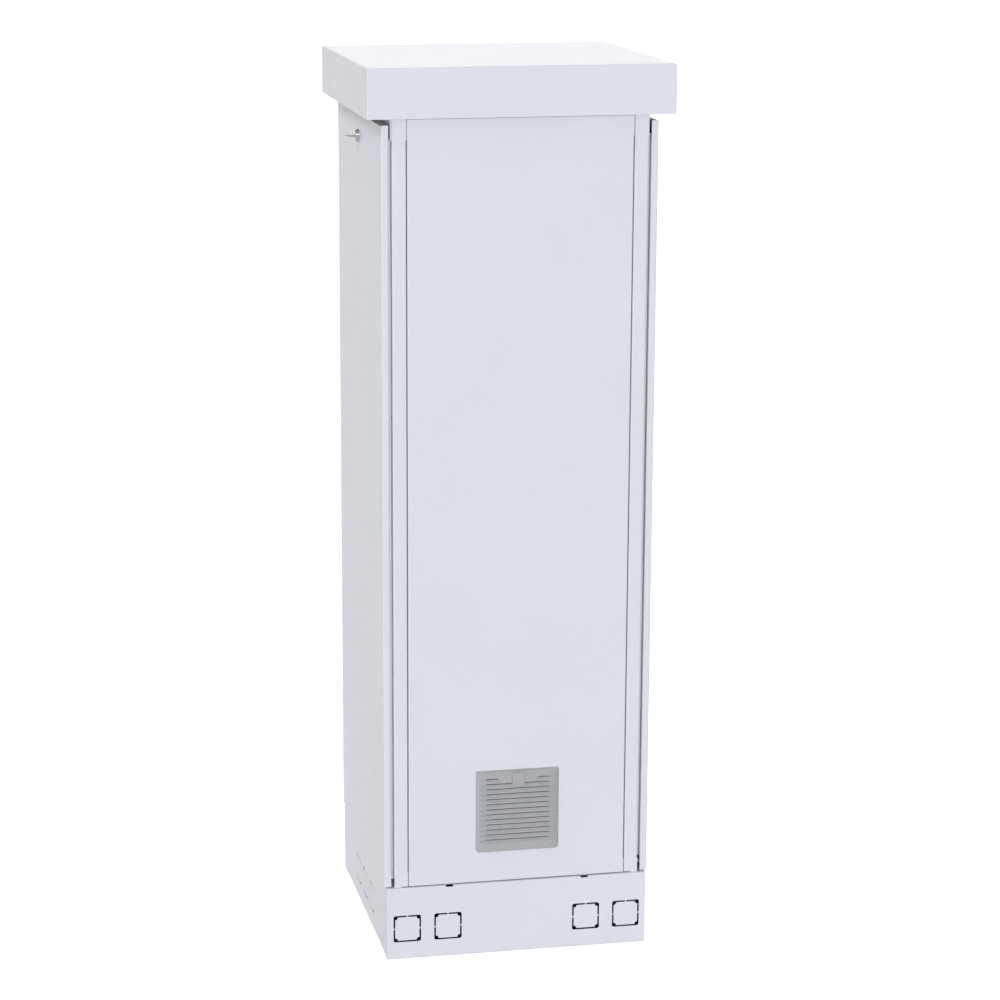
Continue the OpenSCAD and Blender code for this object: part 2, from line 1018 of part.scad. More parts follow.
// Insulating stand-offs under the earth bar
module earth_insulators() {
    color(rubber)
        for (k = [-1, 1])
            translate([k * stand_x, earth_y, plinth_h + sheet])
                cylinder(r = 9, h = earth_up);
}

// Side covers and locks

// Open hooks on the base frame that carry the cover pins
module hook() {
    run_y(-hook_y, -hook_y + 3)
        difference() {
            union() {
                translate([-pin_x, pin_z])
                    circle(hook_r);
                polygon([[-base_x, pin_z - hook_r], [-base_x, low_z - sheet],
                    [-base_x - 8, low_z - sheet], [-pin_x + pin_r + 2, pin_z + 6],
                    [-pin_x, pin_z], [-pin_x, pin_z - hook_r]]);
            }
            translate([-pin_x, pin_z])
                circle(pin_r + pin_gap);
            translate([-pin_x - pin_r - pin_gap, pin_z])
                square([2 * (pin_r + pin_gap), 20]);
            translate([-pin_x - hook_r - 1, pin_z + 2])
                square([hook_r + 1, 20]);
        }
}

module cover_hooks() {
    color(paint)
        corners()
            hook();
}

// Folded tray with notched return lips, rounded upper and lower edges and the lock hole
module cover() {
    m = cover_t / 2;
    x = -half_w + m;
    y = cover_y - m;
    lip = -cover_in - m;
    part = -cover_in - 5;
    difference() {
        intersection() {
            union() {
                rise(cover_low, cover_high)
                    folded([[part, -y], [x, -y], [x, y], [part, y]], cover_t);
                for (s = [0, 1])
                    mirror([0, s, 0]) {
                        rise(low_z, high_z)
                            folded([[part, -y], [lip, -y], [lip, -cover_y + 12]], cover_t);
                        for (z = [[cover_low, low_z], [high_z, cover_high]])
                            box([part, -cover_y, z[0]], [-cover_in, -cover_y + cover_t, z[1]]);
                    }
                box([x, -y, cover_high - cover_t], [-cover_in, y, cover_high]);
                box([x, -y, cover_low], [-half_w + 12, y, cover_low + cover_t]);
            }
            run_y(-cover_y, cover_y)
                cover_side();
        }
        translate([0, 0, lock_z])
            rod_x(barrel_r + 0.1, -half_w - 1, -half_w + cover_t + 1);
    }
}

// Side outline of the cover, both outer corners rounded like a fold
module cover_side() {
    r = fold_r + cover_t;
    translate([-half_w + r, cover_low])
        square([half_w, cover_high - cover_low]);
    translate([-half_w, cover_low + r])
        square([2 * r, cover_high - cover_low - 2 * r]);
    for (z = [cover_low + r, cover_high - r])
        translate([-half_w + r, z])
            circle(r);
}

// Foam seal ring on the inside of a cover
module cover_seal() {
    x0 = -half_w + cover_t;
    y = lip_y - sheet / 2;
    low = low_z - sheet / 2;
    high = high_z + sheet / 2;
    difference() {
        box([x0, -y - 6, low - 6], [x0 + seal_t, y + 6, high + 6]);
        box([x0 - 1, -y + 6, low + 6], [x0 + seal_t + 1, y - 6, high - 6]);
    }
}

// Studs welded to the cover flanges, which sit in the hooks
module cover_pins() {
    for (s = [0, 1])
        mirror([0, s, 0])
            translate([-pin_x, 0, pin_z])
                rod_y(pin_r, -cover_y + cover_t, -hook_y + 6);
}

// Rosette and threaded barrel of the lock
module lock_housing() {
    translate([0, 0, lock_z])
        difference() {
            union() {
                translate([-half_w, 0, 0])
                    rotate([0, -90, 0])
                        cylinder(r1 = rosette_r, r2 = rosette_r - 5, h = rosette_h);
                rod_x(barrel_r, -half_w - 1, -cam_x - cam_t - 1);
            }
            rod_x(plug_r + plug_gap, -half_w - rosette_h - 1, -cam_x);
        }
}

// Flat nut that clamps the lock in the cover
module lock_nut() {
    x = -half_w + cover_t;
    translate([0, 0, lock_z])
        difference() {
            translate([x, 0, 0])
                rotate([0, 90, 0])
                    cylinder(r = 12.7, h = 5, $fn = 6);
            rod_x(barrel_r + stud_gap, x - 1, x + 6);
        }
}

// Turning plug with the key slot and a square end for the cam
module plug() {
    x0 = -half_w - rosette_h + 0.5;
    translate([0, 0, lock_z])
        difference() {
            union() {
                rod_x(plug_r, x0, -cam_x - cam_t - 0.5);
                box([-cam_x - cam_t - 1, -4, -4], [-cam_x, 4, 4]);
            }
            box([x0 - 1, -key_w / 2 - 0.1, -key_t / 2 - 0.1], [x0 + 20, key_w / 2 + 0.1, key_t / 2 + 0.1]);
            rod_x(2.5, -cam_x - 8, -cam_x + 1);
        }
}

// Cam, at rest pointing along the cover and clear of the top frame
module cam() {
    translate([0, 0, lock_z])
        difference() {
            union() {
                rod_x(9, -cam_x - cam_t, -cam_x);
                box([-cam_x - cam_t, -cam_l, -7], [-cam_x, 0, 7]);
            }
            box([-cam_x - cam_t - 1, -4.05, -4.05], [-cam_x + 1, 4.05, 4.05]);
        }
}

// Screw that holds the cam on the plug
module cam_screw() {
    translate([0, 0, lock_z]) {
        rod_x(2.5 - stud_gap, -cam_x - 7, -cam_x + 1);
        rod_x(7, -cam_x, -cam_x + 3.5);
    }
}

module left_cover() {
    color(paint)
        cover();
}

module left_seal() {
    color(rubber)
        cover_seal();
}

module left_pins() {
    color(zinc)
        cover_pins();
}

module left_lock_housing() {
    color(chrome)
        lock_housing();
}

module left_lock_nut() {
    color(zinc)
        lock_nut();
}

module left_plug() {
    color(chrome)
        plug();
}

module left_cam() {
    color(zinc)
        cam();
}

module left_cam_screw() {
    color(zinc)
        cam_screw();
}

// Flat key with a round bow, blade in the plug
module key() {
    x0 = -half_w - rosette_h + 0.5;
    color([0.78, 0.74, 0.66])
        translate([0, 0, lock_z - key_t / 2])
            linear_extrude(key_t)
                difference() {
                    union() {
                        translate([x0 - key_l + bow_r, 0])
                            circle(bow_r);
                        translate([x0 - key_l + bow_r, -key_w / 2])
                            square([key_l - bow_r + 18, key_w]);
                    }
                    translate([x0 - key_l + 6, 0])
                        circle(2.5);
                }
}

// Right cover and lock: the left ones turned half round, without a key
module right_cover() {
    color(paint)
        rotate([0, 0, 180])
            cover();
}

module right_seal() {
    color(rubber)
        rotate([0, 0, 180])
            cover_seal();
}

module right_pins() {
    color(zinc)
        rotate([0, 0, 180])
            cover_pins();
}

module right_lock_housing() {
    color(chrome)
        rotate([0, 0, 180])
            lock_housing();
}

module right_lock_nut() {
    color(zinc)
        rotate([0, 0, 180])
            lock_nut();
}

module right_plug() {
    color(chrome)
        rotate([0, 0, 180])
            plug();
}

module right_cam() {
    color(zinc)
        rotate([0, 0, 180])
            cam();
}

module right_cam_screw() {
    color(zinc)
        rotate([0, 0, 180])
            cam_screw();
}

plinth_front();
plinth_rear();
plinth_left();
plinth_right();
plinth_bolts();
floor_plate();
gland_plate();
cable_grommets();
bottom_frame();
top_frame();
post_front_left();
post_front_right();
post_rear_left();
post_rear_right();
front_panel();
front_seal();
rear_panel();
rear_seal();
panel_nuts();
top_plate();
roof_supports();
roof();
roof_nuts();
grille_frame();
filter_mat();
grille_cover();
rail_front_left();
rail_front_right();
rail_rear_left();
rail_rear_right();
bar_front_low();
bar_front_mid();
bar_front_high();
bar_rear_low();
bar_rear_mid();
bar_rear_high();
rail_bolts();
rail_nuts();
earth_bar();
earth_insulators();
cover_hooks();
left_cover();
left_seal();
left_pins();
left_lock_housing();
left_lock_nut();
left_plug();
left_cam();
left_cam_screw();
key();
right_cover();
right_seal();
right_pins();
right_lock_housing();
right_lock_nut();
right_plug();
right_cam();
right_cam_screw();
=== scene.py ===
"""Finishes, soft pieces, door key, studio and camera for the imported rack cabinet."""

import json
import logging
import math
from dataclasses import dataclass
from enum import Enum
from typing import Callable, Sequence

import bpy
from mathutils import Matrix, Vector


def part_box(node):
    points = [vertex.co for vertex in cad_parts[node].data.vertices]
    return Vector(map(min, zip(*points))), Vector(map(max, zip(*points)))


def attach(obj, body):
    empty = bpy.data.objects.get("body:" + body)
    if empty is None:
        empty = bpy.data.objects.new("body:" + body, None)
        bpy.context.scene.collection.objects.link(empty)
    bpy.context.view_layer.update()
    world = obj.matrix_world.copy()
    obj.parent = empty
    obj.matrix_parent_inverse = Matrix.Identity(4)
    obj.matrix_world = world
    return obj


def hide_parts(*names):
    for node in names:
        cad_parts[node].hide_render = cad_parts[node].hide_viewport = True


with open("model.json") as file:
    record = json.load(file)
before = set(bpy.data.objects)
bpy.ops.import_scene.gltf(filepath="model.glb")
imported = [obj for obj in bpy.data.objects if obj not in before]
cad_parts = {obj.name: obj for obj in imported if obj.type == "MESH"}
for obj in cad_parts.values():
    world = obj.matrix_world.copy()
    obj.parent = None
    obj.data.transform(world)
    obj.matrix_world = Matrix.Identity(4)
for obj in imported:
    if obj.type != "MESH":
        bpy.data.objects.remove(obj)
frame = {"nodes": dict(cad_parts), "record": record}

LOG = logging.getLogger("rack_cabinet")
MM = 0.001

Colour = tuple[float, float, float]
Span = tuple[float, float]
Finishes = dict[str, bpy.types.Material]

# In a finish, a value named after a pattern, such as cloud or grain, is its cells per metre.
# A span is the part of a field's range that is spread over two tones.
WIDE: Span = (0.3, 0.7)
NARROW: Span = (0.35, 0.65)

# Stretch of a field that is the same along X, Y and Z.
EVEN = (1, 1, 1)

# A cutter's length, in thicknesses of the piece that it passes through.
THROUGH = 3

# Lamp colours.
COOL: Colour = (0.945, 0.963, 0.99)
WARM: Colour = (1.0, 0.995, 0.995)
WHITE: Colour = (1.0, 1.0, 1.0)

# The seals behind the front and rear panels are narrower than those of the covers.
PANEL_SEAL_STRIP = 8 * MM
PANEL_SEAL_ROUNDING = 1.0 * MM


class Body(Enum):
    """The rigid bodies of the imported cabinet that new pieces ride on."""

    CABINET = "cabinet"
    LEFT_SIDE = "left_side"
    LEFT_LOCK = "left_lock"
    RIGHT_SIDE = "right_side"


class Slot(Enum):
    """Material slots named in the cabinet's record."""

    PAINT = "paint"
    ZINC = "zinc"
    CHROME = "chrome"
    RUBBER = "rubber"
    GRILLE = "grille_plastic"
    FLEECE = "fleece"
    COPPER = "copper"
    KEY = "key_metal"


class Joinery(Enum):
    """Ways to bring two solids together."""

    CUT = "DIFFERENCE"
    WELD = "UNION"


def scaled(colour: Colour, factor: float) -> Colour:
    """Makes a colour darker or paler, at most white.

    Args:
        colour: The colour to change.
        factor: Factor on each channel.

    Returns:
        The changed colour.
    """
    return tuple(min(1.0, channel * factor) for channel in colour)


class Graph:
    """A material's node tree with short helpers for adding and joining nodes."""

    bevel_samples = 6

    def __init__(self, name: str) -> None:
        """Starts an empty node material.

        Args:
            name: The material's name.
        """
        self.material = bpy.data.materials.new(name)
        self.material.use_nodes = True
        self.tree = self.material.node_tree
        self.tree.nodes.clear()
        self.output = self.tree.nodes.new("ShaderNodeOutputMaterial")
        self.shader = self.tree.nodes.new("ShaderNodeBsdfPrincipled")
        self.join(self.shader, "BSDF", self.output, "Surface")
        self.coords = self.tree.nodes.new("ShaderNodeTexCoord")

    def join(self, a: bpy.types.Node, out: str, b: bpy.types.Node, into: str | int) -> None:
        """Links one node's output to another node's input."""
        self.tree.links.new(a.outputs[out], b.inputs[into])

    def mapped(self, stretch: Sequence[float]) -> bpy.types.Node:
        """Object coordinates stretched along each axis.

        Args:
            stretch: Factors along X, Y and Z.

        Returns:
            The Mapping node.
        """
        node = self.tree.nodes.new("ShaderNodeMapping")
        node.inputs["Scale"].default_value = stretch
        self.join(self.coords, "Object", node, "Vector")
        return node

    def noise(self, scale: float, detail: float,
              stretch: Sequence[float] = EVEN) -> bpy.types.Node:
        """A noise field on Object coordinates.

        Args:
            scale: Cells per metre.
            detail: Octaves of finer noise.
            stretch: Factors along X, Y and Z.

        Returns:
            The Noise Texture node.
        """
        node = self.tree.nodes.new("ShaderNodeTexNoise")
        node.inputs["Scale"].default_value = scale
        node.inputs["Detail"].default_value = detail
        self.join(self.mapped(stretch), "Vector", node, "Vector")
        return node

    def cells(self, scale: float) -> bpy.types.Node:
        """A field of round cells on Object coordinates.

        Args:
            scale: Cells per metre.

        Returns:
            The Voronoi Texture node.
        """
        node = self.tree.nodes.new("ShaderNodeTexVoronoi")
        node.inputs["Scale"].default_value = scale
        self.join(self.mapped(EVEN), "Vector", node, "Vector")
        return node

    def ramp(self, source: bpy.types.Node, out: str, span: Span,
             dark: Colour | float, light: Colour | float) -> bpy.types.Node:
        """Maps a field between two colours or grey values.

        Args:
            source: Node whose output is mapped.
            out: Name of that output.
            span: Field values that give dark and light.
            dark: Colour or grey at the span's start.
            light: Colour or grey at the span's end.

        Returns:
            The Color Ramp node.
        """
        node = self.tree.nodes.new("ShaderNodeValToRGB")
        ends = node.color_ramp.elements[:]
        for end, place, value in zip(ends, span, (dark, light)):
            end.position = place
            rgb = (value, value, value) if isinstance(value, float) else value
            end.color = (*rgb, 1.0)
        self.join(source, out, node, "Fac")
        return node

    def mix(self, factor: bpy.types.Node, out: str, a: bpy.types.Node, b: bpy.types.Node | Colour,
            mode: str = "MIX") -> bpy.types.Node:
        """Mixes two colours by a field.

        Args:
            factor: Node that gives the share of b.
            out: Name of its output.
            a: Node with the first colour on its Color output.
            b: Node or plain colour laid over it.
            mode: Blend mode.

        Returns:
            The Mix node; its colour is on the output Color.
        """
        node = self.tree.nodes.new("ShaderNodeMixRGB")
        node.blend_type = mode
        self.join(factor, out, node, "Fac")
        self.join(a, "Color", node, "Color1")
        if isinstance(b, bpy.types.Node):
            self.join(b, "Color", node, "Color2")
        else:
            node.inputs["Color2"].default_value = (*b, 1.0)
        return node

    def rounded(self, radius: float) -> bpy.types.Node:
        """Normals that round every hard edge.

        Args:
            radius: Edge radius in metres.

        Returns:
            The Bevel node.
        """
        node = self.tree.nodes.new("ShaderNodeBevel")
        node.samples = self.bevel_samples
        node.inputs["Radius"].default_value = radius
        return node

    def edge_mask(self, radius: float, span: Span) -> bpy.types.Node:
        """A field that is bright along hard edges and dark on flat faces.

        Args:
            radius: Reach of the edge in metres.
            span: Shares of turn where the edge starts and where it is full.

        Returns:
            The Map Range node; its value is on the output Result.
        """
        start, full = span
        bevel = self.rounded(radius)
        geometry = self.tree.nodes.new("ShaderNodeNewGeometry")
        dot = self.tree.nodes.new("ShaderNodeVectorMath")
        dot.operation = "DOT_PRODUCT"
        self.join(bevel, "Normal", dot, 0)
        self.join(geometry, "Normal", dot, 1)
        mask = self.tree.nodes.new("ShaderNodeMapRange")
        mask.inputs["From Min"].default_value = 1.0 - start
        mask.inputs["From Max"].default_value = 1.0 - full
        self.join(dot, "Value", mask, "Value")
        return mask

    def bump(self, height: bpy.types.Node, out: str, depth: float, share: float,
             base: bpy.types.Node | None = None) -> bpy.types.Node:
        """A bump from a height field.

        Args:
            height: Node that gives the height.
            out: Name of its output.
            depth: Height in metres of a full step of the field.
            share: Share of the bump that shows.
            base: Node with the normal that the bump is laid on.

        Returns:
            The Bump node.
        """
        node = self.tree.nodes.new("ShaderNodeBump")
        node.inputs["Distance"].default_value = depth
        node.inputs["Strength"].default_value = share
        self.join(height, out, node, "Height")
        if base is not None:
            self.join(base, "Normal", node, "Normal")
        return node

    def set(self, **values: float) -> None:
        """Sets plain values on the shader's own sockets, underscores standing for spaces."""
        for name, value in values.items():
            self.shader.inputs[name.replace("_", " ")].default_value = value

    def finish(self, colour: bpy.types.Node, rough: bpy.types.Node,
               normal: bpy.types.Node) -> bpy.types.Material:
        """Joins colour, roughness and normal to the shader.

        Args:
            colour: Node with the base colour on its Color output.
            rough: Node with the roughness on its Color output.
            normal: Node with the normal.

        Returns:
            The finished material.
        """
        self.join(colour, "Color", self.shader, "Base Color")
        self.join(rough, "Color", self.shader, "Roughness")
        self.join(normal, "Normal", self.shader, "Normal")
        return self.material


@dataclass(frozen=True)
class PowderCoat:
    """Fine-textured powder coat on folded sheet."""

    colour: Colour
    tint: float = 0.985
    cloud: float = 3.5
    speck: float = 900
    speck_tone: float = 0.97
    polish: float = 55
    rough: Span = (0.34, 0.46)
    specular: float = 0.32
    edge_mm: float = 1.2
    # Painted highlight along hard edges: factor on the colour, its reach and its span.
    painted_highlight: float = 1.13
    painted_highlight_mm: float = 2.4
    painted_highlight_span: Span = (0.004, 0.10)
    peel: float = 650
    peel_mm: float = 0.035
    peel_share: float = 0.5
    wave: float = 6
    wave_mm: float = 0.6
    wave_share: float = 0.08

    def build(self, name: str) -> bpy.types.Material:
        """Makes the material.

        Args:
            name: Name of the material.

        Returns:
            A coat with cloudy tone, orange-peel grain, softened edges and a painted highlight along hard
            edges.
        """
        g = Graph(name)
        shade = scaled(self.colour, self.tint)
        tone = g.ramp(g.noise(self.cloud, detail=4), "Fac", NARROW, shade, self.colour)
        speck = g.ramp(g.noise(self.speck, detail=2), "Fac", WIDE, self.speck_tone, 1.0)
        grained = g.mix(speck, "Alpha", tone, speck, "MULTIPLY")
        # Painted highlight: the colour turns paler along hard edges, where rounded folds would catch the
        # light.
        edge = g.edge_mask(self.painted_highlight_mm * MM, self.painted_highlight_span)
        with_painted_highlight = g.mix(edge, "Result", grained, scaled(self.colour, self.painted_highlight))
        rough = g.ramp(g.noise(self.polish, detail=5), "Fac", WIDE, *self.rough)
        soft_edge = g.rounded(self.edge_mm * MM)
        peel = g.bump(g.noise(self.peel, detail=2), "Fac", self.peel_mm * MM, self.peel_share, soft_edge)
        wave = g.bump(g.noise(self.wave, detail=1), "Fac", self.wave_mm * MM, self.wave_share, peel)
        g.set(Specular_IOR_Level=self.specular)
        return g.finish(with_painted_highlight, rough, wave)


@dataclass(frozen=True)
class PlatedMetal:
    """Plated or bare metal with a fine structure."""

    colour: Colour
    rough: float
    rough_spread: float
    grain: float
    mottle: float
    stretch: Sequence[float] = EVEN
    polish_share: float = 0.4
    edge_mm: float = 0.4
    # Paler edges, partly rubbed wear and partly painted highlight: factor on the colour, its reach and its
    # span.
    wear_and_highlight: float = 1.15
    wear_and_highlight_mm: float = 1.0
    wear_and_highlight_span: Span = (0.01, 0.2)
    scratch_times: float = 3
    scratch_mm: float = 0.02
    scratch_share: float = 0.35

    def build(self, name: str) -> bpy.types.Material:
        """Makes the material.

        Args:
            name: Name of the material.

        Returns:
            A metal with mottled tone, uneven polish and edges that are paler, partly as rubbed wear and
            partly as a painted highlight.
        """
        g = Graph(name)
        dull = scaled(self.colour, self.mottle)
        mottling = g.noise(self.grain, detail=5, stretch=self.stretch)
        tone = g.ramp(mottling, "Fac", NARROW, dull, self.colour)
        # Partly rubbed wear, partly painted highlight: the colour turns paler along hard edges.
        edge = g.edge_mask(self.wear_and_highlight_mm * MM, self.wear_and_highlight_span)
        worn_and_highlighted = g.mix(edge, "Result", tone, scaled(self.colour, self.wear_and_highlight))
        polish = g.noise(self.grain * self.polish_share, detail=5, stretch=self.stretch)
        rough = g.ramp(polish, "Fac", WIDE, self.rough - self.rough_spread, self.rough + self.rough_spread)
        scratches = g.noise(self.grain * self.scratch_times, detail=3, stretch=self.stretch)
        scratched = g.bump(scratches, "Fac", self.scratch_mm * MM, self.scratch_share,
                           g.rounded(self.edge_mm * MM))
        g.set(Metallic=1.0)
        return g.finish(worn_and_highlighted, rough, scratched)


@dataclass(frozen=True)
class MouldedPlastic:
    """Grained, half-matt moulded plastic."""

    colour: Colour
    tint: float = 0.94
    cloud: float = 18
    polish: float = 140
    rough: Span = (0.44, 0.57)
    specular: float = 0.4
    edge_mm: float = 0.7
    # Painted highlight along hard edges: factor on the colour, its reach and its span.
    painted_highlight: float = 1.04
    painted_highlight_mm: float = 1.0
    painted_highlight_span: Span = (0.01, 0.25)
    grain: float = 1500
    grain_mm: float = 0.05
    grain_share: float = 0.4

    def build(self, name: str) -> bpy.types.Material:
        """Makes the material.

        Args:
            name: Name of the material.

        Returns:
            A plastic with fine spark grain, faint cloud, soft edges and a painted highlight along hard
            edges.
        """
        g = Graph(name)
        shade = scaled(self.colour, self.tint)
        tone = g.ramp(g.noise(self.cloud, detail=4), "Fac", WIDE, shade, self.colour)
        # Painted highlight: the colour turns paler along hard edges, where they would catch the light.
        edge = g.edge_mask(self.painted_highlight_mm * MM, self.painted_highlight_span)
        with_painted_highlight = g.mix(edge, "Result", tone, scaled(self.colour, self.painted_highlight))
        rough = g.ramp(g.noise(self.polish, detail=4), "Fac", WIDE, *self.rough)
        soft_edge = g.rounded(self.edge_mm * MM)
        grain = g.bump(g.noise(self.grain, detail=2), "Fac", self.grain_mm * MM, self.grain_share, soft_edge)
        g.set(Specular_IOR_Level=self.specular)
        return g.finish(with_painted_highlight, rough, grain)


@dataclass(frozen=True)
class CellFoam:
    """Closed-cell rubber foam or dense rubber."""

    colour: Colour
    cell: float = 1100
    cell_span: Span = (0.1, 0.7)
    pale_times: float = 1.9
    pale_lift: float = 0.01
    polish: float = 90
    rough: Span = (0.72, 0.9)
    specular: float = 0.25
    edge_mm: float = 0.8
    pore_mm: float = 0.35
    pore_share: float = 0.6

    def build(self, name: str) -> bpy.types.Material:
        """Makes the material.

        Args:
            name: Name of the material.

        Returns:
            A dull black foam with small open cells.
        """
        g = Graph(name)
        cells = g.cells(self.cell)
        pale = tuple(channel * self.pale_times + self.pale_lift for channel in self.colour)
        tone = g.ramp(cells, "Distance", self.cell_span, self.colour, pale)
        rough = g.ramp(g.noise(self.polish, detail=3), "Fac", WIDE, *self.rough)
        pores = g.bump(cells, "Distance", self.pore_mm * MM, self.pore_share, g.rounded(self.edge_mm * MM))
        g.set(Specular_IOR_Level=self.specular)
        return g.finish(tone, rough, pores)


@dataclass(frozen=True)
class FilterFleece:
    """Needled filter fleece."""

    colour: Colour
    dust: float = 0.72
    upright: float = 260
    upright_stretch: Sequence[float] = (1, 1, 7)
    level: float = 240
    level_stretch: Sequence[float] = (7, 1, 1)
    fibre_tone: float = 0.8
    rough: Span = (0.85, 0.98)
    nap_mm: float = 0.6
    nap_share: float = 0.7
    sheen: float = 0.2

    def build(self, name: str) -> bpy.types.Material:
        """Makes the material.

        Args:
            name: Name of the material.

        Returns:
            A matt fleece with crossing fibres and a little trapped dust.
        """
        g = Graph(name)
        first = g.noise(self.upright, detail=6, stretch=self.upright_stretch)
        second = g.noise(self.level, detail=6, stretch=self.level_stretch)
        tone = g.ramp(first, "Fac", WIDE, scaled(self.colour, self.dust), self.colour)
        fibre = g.ramp(second, "Fac", NARROW, self.fibre_tone, 1.0)
        crossed = g.mix(second, "Fac", tone, fibre, "MULTIPLY")
        rough = g.ramp(first, "Fac", WIDE, *self.rough)
        under = g.bump(second, "Fac", self.nap_mm * MM, self.nap_share)
        nap = g.bump(first, "Fac", self.nap_mm * MM, self.nap_share, under)
        g.set(Sheen_Weight=self.sheen)
        return g.finish(crossed, rough, nap)


@dataclass(frozen=True)
class CabinetFinishes:
    """Every finish of the cabinet, by record slot."""

    paint: PowderCoat = PowderCoat((0.716, 0.727, 0.779))
    zinc: PlatedMetal = PlatedMetal((0.66, 0.67, 0.69), 0.38, 0.08, grain=90, mottle=0.8)
    # The chrome colour is set darker than bright chrome: a painted dark reflection of surroundings that the
    # white studio lacks.
    chrome: PlatedMetal = PlatedMetal((0.31, 0.30, 0.275), 0.12, 0.05, grain=160, mottle=0.92)
    rubber: CellFoam = CellFoam((0.016, 0.016, 0.018))
    grille: MouldedPlastic = MouldedPlastic((0.405, 0.41, 0.417))
    fleece: FilterFleece = FilterFleece((0.62, 0.62, 0.58))
    copper: PlatedMetal = PlatedMetal((0.72, 0.38, 0.22), 0.32, 0.09, grain=60, mottle=0.7,
                                      stretch=(14, 1, 14))
    key: PlatedMetal = PlatedMetal((0.70, 0.62, 0.50), 0.26, 0.08, grain=220, mottle=0.82)

    def build(self) -> Finishes:
        """Makes all materials.

        Returns:
            Materials by the record's slot name.
        """
        recipes = {
            Slot.PAINT: self.paint, Slot.ZINC: self.zinc, Slot.CHROME: self.chrome,
            Slot.RUBBER: self.rubber, Slot.GRILLE: self.grille, Slot.FLEECE: self.fleece,
            Slot.COPPER: self.copper, Slot.KEY: self.key,
        }
        return {slot.value: recipe.build(slot.value + "_finish") for slot, recipe in recipes.items()}


class Shop:
    """Modelling steps shared by the pieces, each done with Blender's own operators."""

    weld_reach = 1e-6

    @staticmethod
    def start(add: Callable[..., object], name: str, **sizes: object) -> bpy.types.Object:
        """Adds a primitive with nothing else selected.

        Args:
            add: The primitive operator.
            name: Name of the new piece.
            **sizes: The operator's own arguments.

        Returns:
            The new object.
        """
        bpy.ops.object.select_all(action="DESELECT")
        add(**sizes)
        piece = bpy.context.object
        piece.name = name
        piece.data.name = name
        return piece

    @staticmethod
    def block(name: str, middle: Sequence[float], size: Sequence[float]) -> bpy.types.Object:
        """Adds a box.

        Args:
            name: Name of the new piece.
            middle: Its middle.
            size: Its lengths along X, Y and Z.

        Returns:
            The box, with its origin at the world's.
        """
        piece = Shop.start(bpy.ops.mesh.primitive_cube_add, name, size=1, location=middle)
        piece.scale = size
        bpy.ops.object.transform_apply(location=True, rotation=True, scale=True)
        return piece

    @staticmethod
    def settle(piece: bpy.types.Object, smooth_deg: float = 35.0) -> None:
        """Applies the piece's place, recalculates normals and smooths soft edges.

        Args:
            piece: The piece to settle.
            smooth_deg: Edges below this angle are shaded smooth.
        """
        bpy.ops.object.select_all(action="DESELECT")
        piece.select_set(True)
        bpy.context.view_layer.objects.active = piece
        bpy.ops.object.transform_apply(location=True, rotation=True, scale=True)
        bpy.ops.object.mode_set(mode="EDIT")
        bpy.ops.mesh.select_all(action="SELECT")
        bpy.ops.mesh.remove_doubles(threshold=Shop.weld_reach)
        bpy.ops.mesh.normals_make_consistent(inside=False)
        bpy.ops.object.mode_set(mode="OBJECT")
        bpy.ops.object.shade_smooth_by_angle(angle=math.radians(smooth_deg))

    @staticmethod
    def bevel(piece: bpy.types.Object, width: float, segments: int, sharp_deg: float = 30.0) -> None:
        """Rounds the piece's hard edges with an applied bevel.

        Args:
            piece: The piece to round.
            width: Bevel width in metres.
            segments: Steps across the bevel.
            sharp_deg: Edges sharper than this angle are rounded.
        """
        bpy.context.view_layer.objects.active = piece
        tool = piece.modifiers.new("rounding", "BEVEL")
        tool.width = width
        tool.segments = segments
        tool.limit_method = "ANGLE"
        tool.angle_limit = math.radians(sharp_deg)
        bpy.ops.object.modifier_apply(modifier=tool.name)

    @staticmethod
    def combine(piece: bpy.types.Object, other: bpy.types.Object, how: Joinery) -> None:
        """Cuts another solid out of a piece or welds it on, and removes that solid.

        Args:
            piece: The piece that is changed.
            other: The solid that is cut out or welded on.
            how: Cut or weld.
        """
        bpy.context.view_layer.objects.active = piece
        tool = piece.modifiers.new("joinery", "BOOLEAN")
        tool.operation = how.value
        tool.solver = "EXACT"
        tool.object = other
        bpy.ops.object.modifier_apply(modifier=tool.name)
        bpy.data.objects.remove(other, do_unlink=True)

    @staticmethod
    def hand_over(piece: bpy.types.Object, finishes: Finishes, slot: Slot, body: Body, node: str) -> None:
        """Dresses a finished piece and fixes it to its body.

        Args:
            piece: The finished piece.
            finishes: Materials by slot name.
            slot: The record slot of its finish.
            body: The body it rides on.
            node: The CAD node that it stands for.
        """
        piece.data.materials.clear()
        piece.data.materials.append(finishes[slot.value])
        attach(piece, body.value)
        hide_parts(node)
        LOG.info("piece %s: %d faces", piece.name, len(piece.data.polygons))


@dataclass
class FoamSeal:
    """A foam ring with rounded edges."""

    node: str
    body: Body
    strip: float = 12 * MM
    rounding: float = 2.6 * MM
    rounding_steps: int = 4
    fill: float = 1.0

    def build(self, finishes: Finishes) -> None:
        """Models the ring in the place of its CAD node.

        Args:
            finishes: Materials by slot name.
        """
        low, high = (Vector(corner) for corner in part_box(self.node))
        middle, size = (low + high) / 2, high - low
        thin = min(range(3), key=lambda axis: size[axis])
        bore = [length - 2 * self.strip for length in size]
        bore[thin] = THROUGH * size[thin]
        piece = Shop.block(self.node + "_foam", middle, size)
        Shop.combine(piece, Shop.block("bore", middle, bore), Joinery.CUT)
        Shop.bevel(piece, self.rounding, self.rounding_steps)
        Shop.settle(piece)
        Shop.hand_over(piece, finishes, Slot.RUBBER, self.body, self.node)


